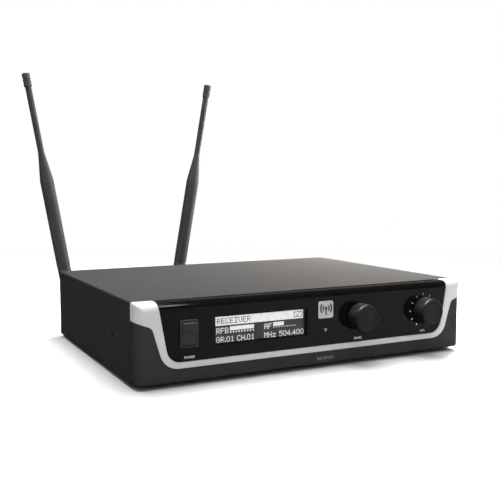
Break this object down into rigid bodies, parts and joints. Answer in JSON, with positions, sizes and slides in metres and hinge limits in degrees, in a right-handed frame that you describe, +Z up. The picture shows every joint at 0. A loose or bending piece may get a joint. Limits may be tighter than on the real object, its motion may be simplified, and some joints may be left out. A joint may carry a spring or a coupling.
{
  "type": "wireless receiver unit",
  "caption": "Half-rack wireless audio receiver: flat steel case, gloss front with display, rocker switch and knobs, and folding whip antennas behind.",
  "frame": {"origin": "on the surface the feet stand on, under the middle of the whole unit's box with both antennas raised; the case's own middle plane is at X = 8.8 mm", "axes": "+Z up, the front panel faces -Y, +X to the right as seen from the front"},
  "size_m": [0.2295, 0.1961, 0.1795],
  "materials": {
    "cover_paint": "satin",
    "chassis_paint": "satin",
    "bezel_plastic": "fine moulded texture",
    "fascia_gloss": "gloss",
    "trim_silver": "satin silver",
    "window_clear": "clear",
    "display_dark": "gloss",
    "badge_silver": "brushed",
    "knob_black": "satin",
    "switch_black": "satin",
    "infrared_dark": "gloss",
    "screw_black": "black oxide",
    "steel_plain": "zinc plated",
    "contact_nickel": "nickel plated",
    "contact_brass": "plain",
    "housing_black": "moulded",
    "board_green": "solder mask",
    "cable_grey": "satin",
    "foot_rubber": "matte",
    "antenna_plastic": "moulded",
    "antenna_sleeve": "satin"
  },
  "bodies": {
    "case": {"chassis_base": "chassis_paint", "top_cover": "cover_paint", "cover_screws": "screw_black", "rack_ear_nuts": "steel_plain", "rubber_feet": "foot_rubber", "front_bezel": "bezel_plastic", "bezel_screws": "steel_plain", "silver_trim": "trim_silver", "fascia_panel": "fascia_gloss", "badge_plate": "badge_silver", "infrared_window": "infrared_dark", "infrared_led": "display_dark", "display_window": "window_clear", "oled_panel": "display_dark", "oled_carrier": "housing_black", "front_board": "board_green", "front_board_screws": "steel_plain", "switch_housing": "switch_black", "switch_terminals": "contact_brass", "encoder_body": "steel_plain", "encoder_nut": "steel_plain", "volume_pot_body": "steel_plain", "volume_nut": "steel_plain", "main_board": "board_green", "board_standoffs": "contact_brass", "board_screws": "steel_plain", "tuner_shield_a": "steel_plain", "tuner_shield_b": "steel_plain", "antenna_leads": "cable_grey", "flat_cable": "cable_grey", "xlr_shell": "contact_nickel", "xlr_insert": "housing_black", "xlr_pins": "contact_nickel", "xlr_screws": "screw_black", "jack_body": "housing_black", "jack_nut": "contact_nickel", "dc_inlet": "housing_black", "dc_pin": "contact_nickel", "antenna_a_socket": "contact_nickel", "antenna_b_socket": "contact_nickel"},
    "power_rocker": {"power_rocker": "switch_black"},
    "func_rotor": {"encoder_rotor": "housing_black"},
    "func_knob": {"func_knob": "knob_black", "func_shaft": "steel_plain"},
    "volume_knob": {"volume_knob": "knob_black", "volume_shaft": "steel_plain"},
    "antenna_a_collar": {"antenna_a_collar": "antenna_plastic"},
    "antenna_a_elbow": {"antenna_a_elbow": "antenna_plastic", "antenna_a_hinge_pin": "steel_plain"},
    "antenna_a_whip": {"antenna_a_root": "antenna_plastic", "antenna_a_whip": "antenna_sleeve", "antenna_a_tip_cap": "antenna_plastic"},
    "antenna_b_collar": {"antenna_b_collar": "antenna_plastic"},
    "antenna_b_elbow": {"antenna_b_elbow": "antenna_plastic", "antenna_b_hinge_pin": "steel_plain"},
    "antenna_b_whip": {"antenna_b_root": "antenna_plastic", "antenna_b_whip": "antenna_sleeve", "antenna_b_tip_cap": "antenna_plastic"}
  },
  "joints": [
    {"name": "power_rocker_tip", "type": "hinge", "parent": "case", "child": "power_rocker", "pos_m": [-0.069, -0.0888, 0.0275], "axis": [-1, 0, 0], "range_deg": [0, 19.2]},
    {"name": "func_turn", "type": "hinge", "parent": "case", "child": "func_rotor", "pos_m": [0.03695, -0.0888, 0.0275], "axis": [0, 1, 0], "continuous": true},
    {"name": "func_push", "type": "slide", "parent": "func_rotor", "child": "func_knob", "axis": [0, 1, 0], "range_m": [0, 0.0005], "stiffness_N_per_m": 6000, "springref_m": -0.0004},
    {"name": "volume_turn", "type": "hinge", "parent": "case", "child": "volume_knob", "pos_m": [0.08485, -0.0888, 0.0275], "axis": [0, 1, 0], "range_deg": [-150, 150]},
    {"name": "antenna_a_lock", "type": "hinge", "parent": "case", "child": "antenna_a_collar", "pos_m": [-0.0854, 0.0926, 0.0238], "axis": [0, 1, 0], "range_deg": [0, 90]},
    {"name": "antenna_b_lock", "type": "hinge", "parent": "case", "child": "antenna_b_collar", "pos_m": [-0.0036, 0.0926, 0.0238], "axis": [0, 1, 0], "range_deg": [0, 90]},
    {"name": "antenna_a_swivel", "type": "hinge", "parent": "case", "child": "antenna_a_elbow", "pos_m": [-0.0854, 0.0926, 0.0238], "axis": [0, 1, 0], "range_deg": [-80, 40]},
    {"name": "antenna_a_fold", "type": "hinge", "parent": "antenna_a_elbow", "child": "antenna_a_whip", "pos_m": [-0.0854, 0.0926, 0.0238], "axis": [-0.9854, 0, -0.1702], "range_deg": [0, 90]},
    {"name": "antenna_b_swivel", "type": "hinge", "parent": "case", "child": "antenna_b_elbow", "pos_m": [-0.0036, 0.0926, 0.0238], "axis": [0, 1, 0], "range_deg": [-40, 80]},
    {"name": "antenna_b_fold", "type": "hinge", "parent": "antenna_b_elbow", "child": "antenna_b_whip", "pos_m": [-0.0036, 0.0926, 0.0238], "axis": [-0.9845, 0, 0.1754], "range_deg": [0, 90]}
  ]
}
